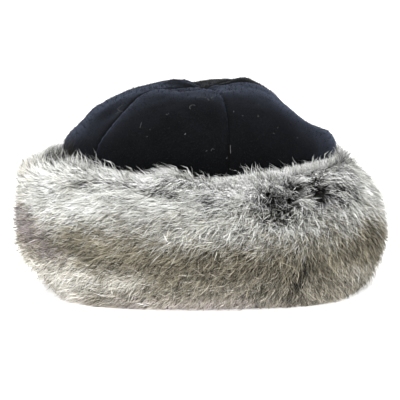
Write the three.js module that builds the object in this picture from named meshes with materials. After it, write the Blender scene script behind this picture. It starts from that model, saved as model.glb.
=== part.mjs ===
// A soft winter hat: a round crown of six sewn fleece gores in a deep ring-shaped cuff of fur.
// Millimetres, +Z up. The front, where the cuff dips lowest, faces -Y, and +X is to the right.
// The crown stands inside the cuff, and the cuff's flat underside is at z = 0.

import * as THREE from "three";
import { mergeVertices } from "three/addons/utils/BufferGeometryUtils.js";

// Driving dimensions

const HALF_WIDTH = 95;        // crown, left to right, at its widest
const HALF_DEPTH = 98;        // crown, front to back, at its widest
const SEAM_TURNS = [11.5, 97, 145, 191.5, 251.5, 311.5];   // degrees round from the front
const CLOTH = 2.0;            // fleece thickness
const SEAM_GAP = 0.3;         // between neighbouring gores
const CUFF_GAP = 0.5;         // between the crown's wall and the fur
const APEX_SHIFT = 3;         // the apex leans to the right by this much
const LEAN_FROM = 100;        // height where that lean starts
const LEAN_OVER = 40;         // height over which it is reached
const BAND_REACH = 0.965;     // crown wall inside the cuff, as a share of its widest
const FRONT_LIP_DIP = 8;      // how far the cuff's upper lip drops at the front
const LIP_HEIGHT = 96;        // of the cuff's upper lip at the sides
const STEPS_PER_GORE = 10;    // facets across a gore; the cuff's facets line up with them
const GORES = SEAM_TURNS.length;

// Crown sections from the rim up to the apex. Reach is a share of the half width or depth.
// The seams lie deeper than the puffed gores by the seam dip. Steps lead on to the next row.

const CROWN_SECTIONS = table(
  ["name", "sideReach", "sideHeight", "frontReach", "frontHeight", "seamDip", "steps"],
  [
    ["rim", BAND_REACH, 2, BAND_REACH, 2, 0.8, 2],
    ["band", BAND_REACH, 46, BAND_REACH, 46, 1.0, 2],
    ["cuff line", 0.985, 86, 0.98, 88, 0.5, 2],
    ["bulge", 1.0, 103, 0.985, 106, 0.7, 3],
    ["shoulder", 0.905, 115, 0.92, 123, 2.6, 3],
    ["slope", 0.775, 127.5, 0.79, 135.5, 3.2, 2],
    ["top", 0.57, 137.5, 0.60, 142, 1.4, 2],
    ["crest", 0.33, 143, 0.36, 144, 1.6, 3],
    ["dimple", 0.13, 143, 0.13, 142, 3.6, 3],
    ["apex", 0.015, 139, 0.015, 139, 0.3, 0],
  ],
);

// Where the crown has sagged, and where it stands proud (a negative depth).
// Turn and its spread are degrees round from the front, reach is a share of the half width.
// They fade out between these two heights, so the wall inside the cuff keeps its form.

const DENTS_FROM = 86;
const DENTS_FULL = 106;

const DENTS = table(
  ["name", "turn", "turnSpread", "reach", "reachSpread", "depth"],
  [
    ["right sag", 102, 36, 0.78, 0.14, 18],
    ["right slope", 102, 36, 0.62, 0.10, 8.0],
    ["right shoulder", 92, 30, 0.92, 0.07, -4.5],
    ["left slope", 270, 36, 0.48, 0.12, -1],
    ["front left puff", 314, 18, 0.62, 0.16, -2],
    ["back hollow", 168, 34, 0.26, 0.12, 1.5],
    ["back rim", 184, 18, 0.52, 0.16, 1.8],
    ["right crest", 80, 26, 0.31, 0.09, -1.5],
    ["front right crest", 45, 20, 0.36, 0.12, -1.0],
    ["right seam valley", 97, 9, 0.34, 0.14, 2.5],
    ["left seam valley", 304, 8, 0.80, 0.10, 2.5],
    ["front left top", 342, 34, 0.34, 0.17, 3.4],
    ["left crest", 262, 28, 0.19, 0.11, -3.4],
    ["back right crest", 125, 26, 0.36, 0.12, -3.5],
  ],
);

// Outer form of the fur, from the floor up over the lip. Out is measured from the crown's wall,
// and the right swell is added on the right side and taken off on the left.

const CUFF_SECTIONS = table(
  ["name", "out", "height", "rightSwell", "steps"],
  [
    ["foot", 12, 0, 5, 2],
    ["lower curve", 24, 8, 4, 3],
    ["lower side", 35, 26, 0.5, 3],
    ["side", 38, 48, 0, 3],
    ["upper side", 34.5, 68, -1.5, 3],
    ["upper curve", 25.5, 86, -6.5, 3],
    ["lip", 11, LIP_HEIGHT, -2, 2],
    ["lip inside", 3.5, LIP_HEIGHT - 3, 0, 0],
  ],
);

const FLEECE = new THREE.MeshStandardMaterial({ color: 0x1c2029, roughness: 0.95, metalness: 0 });
const FUR = new THREE.MeshStandardMaterial({ color: 0xa8a79c, roughness: 0.9, metalness: 0 });

// Tables, curves and directions

function table(columns, rows) {
  return rows.map((row) => Object.fromEntries(columns.map((column, i) => [column, row[i]])));
}

// Catmull-Rom curve through one column of a table, where the row number runs on between rows.
function along(rows, column, position) {
  const last = rows.length - 1;
  const row = Math.min(Math.max(Math.floor(position), 0), last - 1);
  const f = position - row;
  const [a, b, c, d] = [row - 1, row, row + 1, row + 2].map(
    (i) => rows[Math.min(Math.max(i, 0), last)][column],
  );
  const square = 2 * a - 5 * b + 4 * c - d;
  const cube = 3 * b - a - 3 * c + d;
  return 0.5 * (2 * b + (c - a) * f + square * f ** 2 + cube * f ** 3);
}

// The row positions of a section's facets, from its first row to its last.
function positions(rows) {
  const list = rows.flatMap((row, i) => Array.from({ length: row.steps }, (_, k) => i + k / row.steps));
  return [...list, rows.length - 1];
}

const radians = THREE.MathUtils.degToRad;

// Share of the front-to-back column in a section at this turn.
const frontShare = (turn) => Math.cos(radians(turn)) ** 2;

const atTurn = (turn, halfWidth, halfDepth, z) =>
  new THREE.Vector3(halfWidth * Math.sin(radians(turn)), -halfDepth * Math.cos(radians(turn)), z);

const bell = (distance, spread) => Math.exp(-((distance / spread) ** 2));

// Turn across a gore, from 0 on its first seam to 1 on its second.
function goreTurn(number, across) {
  const last = number < GORES ? SEAM_TURNS[number] : SEAM_TURNS[0] + 360;
  return THREE.MathUtils.lerp(SEAM_TURNS[number - 1], last, across);
}

// Crown surface

// Reach and height of the unsewn crown.
function crownSection(turn, position) {
  const share = frontShare(turn);
  const mix = (kind) =>
    THREE.MathUtils.lerp(
      along(CROWN_SECTIONS, `side${kind}`, position),
      along(CROWN_SECTIONS, `front${kind}`, position),
      share,
    );
  return { reach: mix("Reach"), height: mix("Height") };
}

function dentDepth(turn, reach, height) {
  const full = DENTS.reduce((sum, dent) => {
    const aside = THREE.MathUtils.euclideanModulo(turn - dent.turn + 180, 360) - 180;
    return sum + dent.depth * bell(aside, dent.turnSpread) * bell(reach - dent.reach, dent.reachSpread);
  }, 0);
  return full * THREE.MathUtils.smoothstep(height, DENTS_FROM, DENTS_FULL);
}

// Outward direction in the meridian's own plane, as a share out and a share up.
function meridianNormal(turn, position) {
  const step = 0.01;
  const low = crownSection(turn, position - step);
  const high = crownSection(turn, position + step);
  const out = (high.reach - low.reach) * HALF_WIDTH;
  const up = high.height - low.height;
  const length = Math.hypot(out, up);
  return { out: up / length, up: -out / length };
}

// A point of the crown, inwards by depth from its outer face. Seamness is 1 on a seam.
function crownPoint(turn, position, seamness, depth) {
  const { reach, height } = crownSection(turn, position);
  const normal = meridianNormal(turn, position);
  const inwards = depth + along(CROWN_SECTIONS, "seamDip", position) * seamness;
  const z = height - inwards * normal.up - dentDepth(turn, reach, height);
  const point = atTurn(
    turn,
    HALF_WIDTH * reach - inwards * normal.out,
    HALF_DEPTH * reach - inwards * normal.out,
    z,
  );
  point.x += APEX_SHIFT * THREE.MathUtils.clamp((z - LEAN_FROM) / LEAN_OVER, 0, 1);
  return point;
}

// Meshes

// Number of a point in a list of columns, each of them one closed ring of points.
const ringIndex = (ringLength) => (i, j) => j * ringLength + i;

// Triangles between neighbouring rings. All the way round, the last ring joins the first.
function ringFaces(ringLength, columns, allRound) {
  const index = ringIndex(ringLength);
  const faces = [];
  for (let i = 0; i < ringLength; i += 1) {
    for (let j = 0; j < (allRound ? columns : columns - 1); j += 1) {
      const a = index(i, j);
      const b = index(i, (j + 1) % columns);
      const c = index((i + 1) % ringLength, (j + 1) % columns);
      const d = index((i + 1) % ringLength, j);
      faces.push(a, b, c, a, c, d);
    }
  }
  return faces;
}

function closedMesh(name, points, faces, material) {
  const geometry = new THREE.BufferGeometry();
  const flat = points.flatMap((point) => point.toArray());
  geometry.setAttribute("position", new THREE.Float32BufferAttribute(flat, 3));
  geometry.setIndex(faces);
  const merged = mergeVertices(geometry);
  merged.computeVertexNormals();
  const mesh = new THREE.Mesh(merged, material);
  mesh.name = name;
  return mesh;
}

// One gore: a shell of fleece, puffed between its two seams. The ring of points goes up the
// outer face and back down the inner face, and each column holds one such ring.
function crownGore(number) {
  const rows = positions(CROWN_SECTIONS);
  const ringLength = 2 * rows.length;
  const points = [];
  for (let j = 0; j <= STEPS_PER_GORE; j += 1) {
    const across = j / STEPS_PER_GORE;
    const turn = goreTurn(number, across);
    const seamness = Math.abs(2 * across - 1) ** 3;
    const aside = (0.5 - across) * SEAM_GAP;
    const shift = atTurn(turn + 90, aside, aside, 0);
    const outer = rows.map((row) => crownPoint(turn, row, seamness, 0).add(shift));
    const inner = rows.map((row) => crownPoint(turn, row, seamness, CLOTH).add(shift));
    points.push(...outer, ...inner.reverse());
  }
  const index = ringIndex(ringLength);
  const faces = ringFaces(ringLength, STEPS_PER_GORE + 1, false);
  for (let i = 0; i < rows.length - 1; i += 1) {
    const [lowInner, highInner] = [ringLength - 1 - i, ringLength - 2 - i];
    const firstSide = [i, i + 1, highInner, i, highInner, lowInner];
    const lastSide = [i, highInner, i + 1, i, lowInner, highInner];
    faces.push(...firstSide, ...lastSide.map((k) => index(k, STEPS_PER_GORE)));
  }
  return closedMesh(`crown_gore_${number}`, points, faces, FLEECE);
}

// Fur cuff

// A point of the fur's outer form.
function cuffPoint(turn, position) {
  const sideways = Math.sin(radians(turn));
  const out =
    along(CUFF_SECTIONS, "out", position) + along(CUFF_SECTIONS, "rightSwell", position) * sideways;
  const level = along(CUFF_SECTIONS, "height", position);
  const forwards = Math.max(Math.cos(radians(turn)), 0) ** 4;
  const z = level - FRONT_LIP_DIP * forwards * Math.max(level / LIP_HEIGHT, 0) ** 2;
  return atTurn(turn, HALF_WIDTH * BAND_REACH + out, HALF_DEPTH * BAND_REACH + out, z);
}

// A point of the cuff's inner wall, just outside the crown's wall.
function innerWallPoint(turn, position) {
  const { reach, height } = crownSection(turn, position);
  const z = position === 0 ? 0 : height;
  return atTurn(turn, HALF_WIDTH * reach + CUFF_GAP, HALF_DEPTH * reach + CUFF_GAP, z);
}

// The cuff: a hollow ring with a flat underside, its inner wall following the crown's.
function furCuff() {
  const outer = positions(CUFF_SECTIONS);
  const cuffLine = CROWN_SECTIONS.findIndex((row) => row.name === "cuff line");
  const inner = positions(CROWN_SECTIONS).filter((position) => position <= cuffLine).reverse();
  const ringLength = outer.length + inner.length;
  const columns = GORES * STEPS_PER_GORE;
  const points = [];
  for (let j = 0; j < columns; j += 1) {
    const number = 1 + Math.floor(j / STEPS_PER_GORE);
    const turn = goreTurn(number, (j % STEPS_PER_GORE) / STEPS_PER_GORE);
    points.push(...outer.map((position) => cuffPoint(turn, position)));
    points.push(...inner.map((position) => innerWallPoint(turn, position)));
  }
  return closedMesh("fur_cuff", points, ringFaces(ringLength, columns, true), FUR);
}

// Assembly, centred over the middle of its own footprint

const hat = new THREE.Group();
for (let number = 1; number <= GORES; number += 1) hat.add(crownGore(number));
hat.add(furCuff());

const footprint = new THREE.Box3().setFromObject(hat).getCenter(new THREE.Vector3());
hat.position.set(-footprint.x, -footprint.y, 0);
hat.updateMatrixWorld(true);

export default hat;
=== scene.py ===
# A soft winter hat: a crown of six fleece gores in a deep cuff of long fur, resting on a pale floor.
import math

import bpy
import numpy as np
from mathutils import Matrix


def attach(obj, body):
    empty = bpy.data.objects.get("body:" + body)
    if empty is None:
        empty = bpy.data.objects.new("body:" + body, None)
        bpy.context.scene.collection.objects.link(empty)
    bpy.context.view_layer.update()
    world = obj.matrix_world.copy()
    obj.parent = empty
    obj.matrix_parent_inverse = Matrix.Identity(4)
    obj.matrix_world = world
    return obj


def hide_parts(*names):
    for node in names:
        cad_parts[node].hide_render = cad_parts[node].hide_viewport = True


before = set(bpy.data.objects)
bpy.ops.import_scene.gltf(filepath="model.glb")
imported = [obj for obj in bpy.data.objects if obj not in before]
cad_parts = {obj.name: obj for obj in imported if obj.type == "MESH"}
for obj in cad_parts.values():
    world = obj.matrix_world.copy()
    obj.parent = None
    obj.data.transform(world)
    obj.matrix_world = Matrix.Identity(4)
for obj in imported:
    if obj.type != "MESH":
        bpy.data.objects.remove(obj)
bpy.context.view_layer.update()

MM = 0.001
SEED = 41

# Driving dimensions, in millimetres and degrees, as in the frame

HALF_WIDTH = 95.0
HALF_DEPTH = 98.0
SEAM_TURNS = [11.5, 97, 145, 191.5, 251.5, 311.5]
GORES = len(SEAM_TURNS)
CLOTH = 2.0
SEAM_GAP = -0.15  # the gores overlap a little, so that no light comes through
APEX_CLOSING = 0.04  # what is left of the hole at the apex
CUFF_GAP = 0.5
APEX_SHIFT = 3.0
LEAN_FROM = 100.0
LEAN_OVER = 40.0
BAND_REACH = 0.965
FRONT_LIP_DIP = 8.0
LIP_HEIGHT = 96.0
FLOOR_GAP = 0.3  # no hair and no part of the pelt goes lower than this


def table(columns, rows):
    """Rows as dictionaries, and each column as an array under its name."""
    names = columns.split()
    arrays = {name: np.array(values) for name, values in zip(names, zip(*rows))}
    return {"rows": [dict(zip(names, row)) for row in rows], **arrays}


# Crown sections from the rim to the apex, as in the frame
CROWN = table("name side_reach side_height front_reach front_height seam_dip", [
    ["rim", BAND_REACH, 2, BAND_REACH, 2, 0.8],
    ["band", BAND_REACH, 46, BAND_REACH, 46, 1],
    ["cuff line", 0.985, 86, 0.98, 88, 0.5],
    ["bulge", 1, 103, 0.985, 106, 0.7],
    ["shoulder", 0.905, 115, 0.92, 123, 2.6],
    ["slope", 0.775, 127.5, 0.79, 135.5, 3.2],
    ["top", 0.57, 137.5, 0.60, 142, 1.4],
    ["crest", 0.33, 143, 0.36, 144, 1.6],
    ["dimple", 0.13, 143, 0.13, 142, 3.6],
    ["apex", 0.015, 139, 0.015, 139, 0.3],
])

# Where the crown has sagged, and where it stands proud (a negative depth), by a place's reach from
# the middle. They fade in between these heights.
DENTS_FROM = 86
DENTS_FULL = 106
DENTS = table("name turn round reach spread depth", [
    ["right sag", 102, 36, 0.78, 0.14, 18],
    ["right slope", 102, 36, 0.62, 0.10, 8],
    ["right shoulder", 92, 30, 0.92, 0.07, -4.5],
    ["left slope", 270, 36, 0.48, 0.12, -1],
    ["front left puff", 314, 18, 0.62, 0.16, -2],
    ["back hollow", 168, 34, 0.26, 0.12, 1.5],
    ["back rim", 184, 18, 0.52, 0.16, 1.8],
    ["right crest", 80, 26, 0.31, 0.09, -1.5],
    ["front right crest", 45, 20, 0.36, 0.12, -1],
    ["right seam valley", 97, 9, 0.34, 0.14, 2.5],
    ["left seam valley", 304, 8, 0.80, 0.10, 2.5],
    ["front left top", 342, 34, 0.34, 0.17, 3.4],
    ["left crest", 262, 28, 0.19, 0.11, -3.4],
    ["back right crest", 125, 26, 0.36, 0.12, -3.5],
])

# Outer form of the fur from the floor over the lip. The pelt lies this deep under it.
CUFF = table("name out height right_swell pelt_depth", [
    ["foot", 12, 0, 5, 3],
    ["lower curve", 24, 8, 4, 7],
    ["lower side", 35, 26, 0.5, 10],
    ["side", 38, 48, 0, 10.5],
    ["upper side", 34.5, 68, -1.5, 10.5],
    ["upper curve", 25.5, 86, -6.5, 10],
    ["lip", 11, LIP_HEIGHT, -2, 7],
    ["lip inside", 3.5, LIP_HEIGHT - 3, 0, 3],
])
CUFF_END = len(CUFF["rows"]) - 1.0
CROWN_END = len(CROWN["rows"]) - 1.0
CUFF_LINE = 2.0  # row of the crown where the cuff's inner wall ends

# Which way the fur lies round one place, which reaches round degrees either way and spread
# millimetres up and down. Flow is degrees from rightwards towards upwards on the surface, lift is
# degrees off the surface in a hair's lower and in its upper part, stray is how far single hairs
# leave the flow, and draw how much locks close to points. Share is the weight.
BRUSHES = table("name turn round height spread flow root_lift tip_lift stray draw share", [
    ["all round", 0, 1e6, 50, 1e6, 200, 66, 20, 28, 0.3, 0.02],
    ["lip front", -5, 24, 100, 5, 178, 27, 15, 13, 0, 1],
    ["lip front left", -28, 12, 100, 5, 174, 29, 17, 14, 0, 1],
    ["lip left", -48, 16, 100, 7, 162, 37, 26, 17, 0, 1],
    ["lip far left", -85, 22, 98, 10, 145, 54, 28, 22, 0.2, 1],
    ["lip right", 26, 14, 100, 6, 166, 31, 20, 15, 0, 1],
    ["lip right side", 48, 14, 100, 6, 150, 36, 28, 18, 0.1, 1],
    ["lip far right", 80, 20, 101, 6, 120, 56, 36, 26, 0.3, 1],
    ["top left", -68, 16, 86, 9, 164, 62, 20, 18, 0.15, 1],
    ["top front left", -42, 16, 85, 9, 218, 56, 10, 16, 0.1, 1.2],
    ["top front", -12, 20, 86, 8, 226, 54, 8, 16, 0.15, 1.4],
    ["top right of seam", 12, 10, 85, 7, 226, 56, 10, 20, 0.3, 1],
    ["upper front", -26, 22, 72, 9, 212, 58, 10, 22, 0.1, 1.2],
    ["upper middle", 4, 12, 72, 9, 208, 58, 12, 26, 0.2, 1.2],
    ["left", -80, 18, 55, 18, 182, 60, 32, 20, 0.1, 1],
    ["left low", -65, 22, 22, 14, 188, 62, 24, 26, 0.1, 1],
    ["left foot", -46, 24, 4, 7, 206, 60, 34, 30, 0.1, 1.4],
    ["right foot", 46, 22, 4, 7, 285, 58, 34, 32, 0.1, 1.4],
    ["front left", -32, 20, 50, 22, 202, 62, 15, 27, 0.1, 1],
    ["front", -4, 16, 50, 20, 210, 64, 17, 31, 0.1, 1],
    ["front low", -22, 26, 18, 18, 198, 64, 17, 31, 0.1, 1],
    ["left of divide", 18, 12, 50, 34, 220, 66, 19, 34, 0.1, 1.1],
    ["left of divide low", 19, 13, 20, 20, 214, 66, 19, 35, 0.1, 1.1],
    ["patch left", 20, 7, 76, 9, 226, 66, 24, 34, 0.9, 1.2],
    ["patch", 29, 8, 77, 10, 246, 72, 34, 44, 1, 1.2],
    ["patch right", 42, 11, 81, 10, 260, 70, 34, 40, 1, 1.2],
    ["right of divide", 49, 13, 48, 28, 282, 66, 21, 32, 0.1, 1.1],
    ["right low", 50, 16, 18, 18, 286, 66, 23, 34, 0.15, 1.1],
    ["far right", 80, 18, 48, 24, 290, 60, 38, 26, 0.55, 1],
    ["far right top", 66, 14, 83, 11, 280, 54, 8, 22, 0.4, 1.3],
    ["back right", 128, 26, 55, 30, 215, 62, 18, 20, 0.15, 0.8],
    ["back", 180, 26, 60, 30, 186, 62, 16, 20, 0.15, 0.8],
    ["back left", 232, 26, 55, 30, 190, 62, 18, 20, 0.15, 0.8],
    ["back low", 180, 60, 16, 14, 204, 64, 18, 22, 0.1, 0.8],
    ["back lip", 180, 60, 98, 9, 140, 52, 20, 22, 0.3, 1],
])

# Where the fur stands higher (or lies lower, a negative rise) than its outer form
SWELLS = table("name turn round height spread rise", [
    ["front lip", 12, 9, 91, 8, -7],
    ["front left dip", -20, 6, 90, 8, -8],
    ["right lip start", 23, 4, 94, 8, 3],
    ["front left tuft", -10.5, 7, 91, 7, 8],
    ["front right tuft", 20, 4, 90, 6, 2],
    ["right lip", 36, 13, 94, 8, -7],
    ["right low", 70, 20, 16, 12, -6],
    ["right foot", 44, 16, 3, 7, 9],
    ["far right lip", 62, 14, 96, 8, -5],
    ["far right shoulder", 80, 20, 80, 9, -1.5],
    ["far right", 85, 24, 55, 22, -2.2],
    ["far left", -85, 24, 50, 22, -1.2],
    ["left low", -76, 20, 9, 9, -5],
    ["left foot", -38, 22, 4, 7, 14],
    ["far left top", -85, 24, 87, 9, 3.5],
    ["left lip", -34, 14, 95, 7, -4.5],
    ["low clump", 33.5, 2, 22, 7, -10],
])

# Colours up one hair as sRGB bytes, the share of hairs that stay dark up to their tips, how far
# the tip's colour may reach down and how unlike single hairs are. Neighbouring rows are alike.
COATS = table("name root middle tip dark_share tip_reach uneven", [
    ["snow", (168, 168, 166), (238, 239, 236), (250, 250, 248), 0.05, 1, 0.10],
    ["white", (116, 116, 114), (216, 217, 213), (240, 241, 238), 0.13, 1, 0.16],
    ["silver", (70, 70, 68), (192, 193, 188), (232, 233, 229), 0.18, 0.9, 0.24],
    ["cream", (96, 90, 80), (202, 197, 185), (234, 230, 221), 0.15, 0.9, 0.22],
    ["rose", (110, 98, 94), (190, 178, 172), (232, 222, 217), 0.14, 0.8, 0.25],
    ["stone", (56, 56, 52), (144, 143, 135), (214, 213, 205), 0.20, 0.8, 0.21],
    ["beige", (44, 41, 34), (120, 114, 100), (204, 198, 183), 0.24, 0.7, 0.30],
    ["mauve", (36, 32, 32), (98, 89, 87), (182, 174, 172), 0.26, 0.7, 0.32],
    ["taupe", (28, 25, 19), (87, 81, 65), (178, 171, 152), 0.24, 0.6, 0.27],
    ["umber", (18, 16, 12), (64, 58, 45), (154, 147, 130), 0.28, 0.5, 0.35],
    ["grey", (12, 13, 14), (60, 63, 65), (206, 208, 208), 0.34, 0.4, 0.40],
    ["barb", (2, 2, 2), (112, 114, 114), (250, 251, 249), 0.06, 1, 0.30],
    ["dark", (2, 2, 2), (5, 5, 5), (60, 61, 60), 0.70, 0.10, 0.40],
])
COAT_NAMES = [row["name"] for row in COATS["rows"]]
SHADE = (26, 24, 20)  # what the dark hairs tend to
SHADE_PART = 0.9

# Height of each coat's middle at the front and at the sides, where the bands ride higher
BANDS = table("name coat front side spread", [
    ["upper", "silver", 82, 86, 14],
    ["between", "stone", 64, 69, 9],
    ["middle", "taupe", 41, 49, 14],
    ["lower", "beige", 8, 6, 13],
])

# Patches of another coat; a few of them are painted shade or painted light, as marked
PATCHES = table("name coat turn round height spread share", [
    ["front lip", "snow", -10, 22, 93, 6, 1.7],
    ["front right lip", "snow", 15, 10, 89, 8, 2.3],
    ["patch shoulder", "snow", 19, 6, 86, 7, 2.3],
    ["right lip", "snow", 40, 19, 95.5, 7, 3.4],
    ["right lip start", "snow", 22, 6, 92, 7, 3.5],
    ["front left tuft", "snow", -9, 10, 94, 5, 3.2],
    ["left top", "white", -50, 22, 88, 14, 0.2],
    ["front left", "white", -38, 26, 72, 12, 1],
    # partly the fur's own colour and partly painted light: a paler coat at the left edge, standing in for
    # hairs lit from behind
    ["left edge", "white", -92, 14, 86, 14, 1],
    ["left edge low", "cream", -92, 14, 24, 22, 1.2],
    ["patch left", "dark", 23, 4, 78, 4.5, 1.9],
    ["patch low left", "dark", 20, 4, 66, 4, 0.8],
    ["patch low", "dark", 27, 5, 66, 6, 1.4],
    ["patch", "dark", 29, 7, 76, 8, 1.6],
    ["patch right", "dark", 41, 9, 82, 8, 1.5],
    ["patch tail", "dark", 54, 9, 82, 8, 1.35],
    ["patch tail low", "dark", 51, 7, 75, 6, 1],
    ["round the patch", "dark", 42, 16, 78, 9, 0.5],
    ["under the patch", "silver", 28, 22, 60, 9, 1],
    ["low under the patch", "stone", 26, 22, 49, 6, 0.9],
    ["among the patch", "barb", 36, 19, 78, 12, 1.25],
    ["right top", "grey", 66, 12, 90, 10, 0.5],
    ["right edge", "silver", 78, 17, 66, 15, 0.9],
    ["under the tuft", "dark", -15, 5, 86, 2.2, 0.8],
    ["front streak", "dark", 0, 7, 86, 2.2, 0.8],
    ["front streak low", "dark", -9, 4.5, 82, 1.8, 1.8],
    ["front right streak", "grey", 6.5, 5, 76, 6, 1.3],
    ["left streak", "dark", -37, 4.5, 87, 3, 3],
    ["left streak low", "dark", -24.5, 3.5, 87.5, 2.2, 1],
    ["left speck", "grey", -47, 3.5, 76, 2.5, 1.4],
    ["left lip", "grey", -48, 12, 100, 4, 1.1],
    ["left top grey", "stone", -42, 10, 82, 8, 1.2],
    ["far left", "mauve", -78, 15, 54, 12, 1.8],
    ["left middle", "mauve", -61, 12, 46, 9, 2.2],
    ["left middle streak", "umber", -54, 12, 43, 6, 1.2],
    ["far left low", "mauve", -52, 9, 37, 6, 1.3],
    ["left corner", "cream", -58, 25, 17, 12, 2.3],
    ["front left low", "cream", -28, 11, 19, 8, 0.45],
    # partly the fur's own colour and partly painted light: a paler coat at the left top corner, standing in
    # for hairs lit from behind
    ["left top corner", "cream", -78, 16, 84, 14, 0.8],
    ["front middle", "umber", 12, 22, 34, 8, 1.1],
    ["right middle", "umber", 60, 15, 48, 12, 1.5],
    ["right low light", "cream", 66, 14, 18, 10, 0.2],
    ["right low", "umber", 34, 16, 24, 14, 0.9],
    # painted shade: dark hair in the low hollow, where its depth lies in shade
    ["low clump", "dark", 34, 1.6, 24.5, 8, 9],
    ["foot front", "rose", -15, 45, 2, 5.5, 1.6],
    ["back patch", "dark", 205, 14, 72, 9, 1],
    ["back streak", "grey", 150, 16, 80, 5, 0.9],
    ["back lip", "white", 170, 30, 92, 8, 0.9],
    ["back middle", "umber", 235, 30, 36, 10, 0.9],
    ["back foot", "rose", 180, 70, 2, 5, 0.8],
])

# Tufts and stray long hairs along the lip. Length in millimetres, lean in degrees off the surface.
LIP_TUFTS = table("name coat turn round count length flow lean stray", [
    ["left upright", "dark", -66, 5, 490, 21, 94, 66, 14],
    ["left over crown", "silver", -52, 9, 300, 13, 128, 46, 18],
    ["left dark over crown", "dark", -54, 9, 150, 14, 126, 46, 20],
    ["front left tuft", "snow", -14, 4, 330, 15, 150, 30, 8],
    ["front left edge", "white", -32, 8, 160, 12, 150, 26, 10],
    ["front stray", "white", 5, 4, 9, 17, 142, 24, 6],
    ["right of seam", "snow", 28, 8, 300, 14, 152, 28, 12],
    ["right stray", "white", 35, 9, 70, 15, 138, 30, 12],
    ["right edge", "white", 34, 10, 150, 10, 148, 26, 9],
    ["right corner", "grey", 78, 6, 240, 12, 104, 52, 20],
    ["far right", "silver", 84, 12, 240, 10, 80, 50, 22],
    ["back edge", "silver", 180, 50, 700, 12, 128, 34, 20],
])

# Lint on the crown's front, by its place in the photograph's pixels. Heading is degrees from
# rightwards towards upwards, bend is degrees along the thread, and length is in millimetres.
LINT = table("pixel_x pixel_y heading length bend shade", [
    [122, 108, 290, 9, 150, 105],
    [119, 113, 20, 6, -60, 95],
    [107, 106, 60, 1.2, 0, 120],
    [141, 125, 275, 4.5, 20, 100],
    [147, 137, 30, 1, 0, 100],
    [150, 130, 120, 1, 0, 95],
    [168, 114, 10, 3.5, 220, 90],
    [186, 134, 60, 1.3, 0, 150],
    [193, 108, 60, 7, -200, 95],
    [202, 100, 350, 11, -140, 95],
    [214, 99, 250, 6, 160, 105],
    [213, 151, 200, 3.5, 200, 85],
    [207, 151, 20, 1.2, 0, 90],
    [225, 93, 30, 4, -260, 130],
    [229, 92, 80, 2, 30, 120],
    [233, 112, 80, 1.2, 0, 130],
    [243, 116, 10, 1.1, 0, 110],
    [257, 116, 60, 3, 230, 90],
    [258, 105, 20, 1, 0, 100],
    [277, 128, 40, 1.3, 0, 100],
    [297, 138, 0, 1.1, 0, 120],
    [230, 149, 275, 5.5, 10, 115],
    [228, 158, 60, 1.1, 0, 110],
    [273, 134, 330, 1.5, 0, 95],
    [306, 129, 20, 1, 0, 105],
])


# Camera, in metres and degrees

CAMERA_DISTANCE = 2.0
CAMERA_ELEVATION = 6.2
FRAME_WIDTH = 0.280  # what the picture covers at the hat
AIM_HEIGHT = 0.0619


# Curves and directions

def along(rows, column, position):
    """Catmull-Rom curve through a column, where the row number runs on between rows."""
    values = rows[column]
    last = len(values) - 1
    position = np.asarray(position, float)
    row = np.clip(np.floor(position), 0, last - 1).astype(int)
    f = position - row
    a = values[np.clip(row - 1, 0, last)]
    b = values[row]
    c = values[row + 1]
    d = values[np.clip(row + 2, 0, last)]
    square = 2 * a - 5 * b + 4 * c - d
    cube = 3 * b - a - 3 * c + d
    return 0.5 * (2 * b + (c - a) * f + square * f**2 + cube * f**3)


def bell(distance, spread):
    return np.exp(-((distance / spread) ** 2))


def turn_between(turn, other):
    return (turn - other + 180.0) % 360.0 - 180.0


def nearness(row, turn, level, column="height"):
    """From 1 at the place that a table's row names to 0 far from it."""
    return bell(turn_between(turn, row["turn"]), row["round"]) * bell(level - row[column], row["spread"])


def smooth_step(low, high, x):
    """From 0 at low to 1 at high, either of which may be the larger."""
    f = np.clip((x - low) / (high - low), 0, 1)
    return f * f * (3 - 2 * f)


def at_turn(turn, half_width, half_depth, z):
    a = np.radians(turn)
    return np.stack(np.broadcast_arrays(half_width * np.sin(a), -half_depth * np.cos(a), z), -1)


NORMAL_TO_LOGISTIC = 1.702


def even_chance(normal):
    """Spreads normal random numbers almost evenly from 0 to 1."""
    return 1 / (1 + np.exp(-NORMAL_TO_LOGISTIC * normal))


def unit(vectors):
    return vectors / np.maximum(np.linalg.norm(vectors, axis=-1, keepdims=True), 1e-9)


# Smooth unevenness over the hat: how far it goes either way, how many cells it has round the hat,
# the height of a cell in millimetres, and its seed
NOISES = table("name amount cells_round cell_height seed", [
    ["pucker", 2, 60, 9, 7],
    ["wave", 0.9, 16, 34, 11],
    ["small wave", 0.315, 40, 14, 12],
    ["wide band", 6, 14, 40, 61],
    ["band", 6, 42, 13, 62],
    ["narrow band", 4, 110, 6, 63],
    ["ragged patch", 0.7, 80, 5, 64],
    ["shade", 0.10, 36, 18, 71],
    ["small shade", 0.16, 100, 6, 72],
])
NOISE_FROM = -50
NOISE_SPAN = 300
NOISE_ROWS_SPARE = 4


def uneven(turn, height, *names):
    """The sum of these rows of NOISES."""
    rows = [row for row in NOISES["rows"] if row["name"] in names]
    return sum(row["amount"] * soft_noise(turn, height, row) for row in rows)


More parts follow.
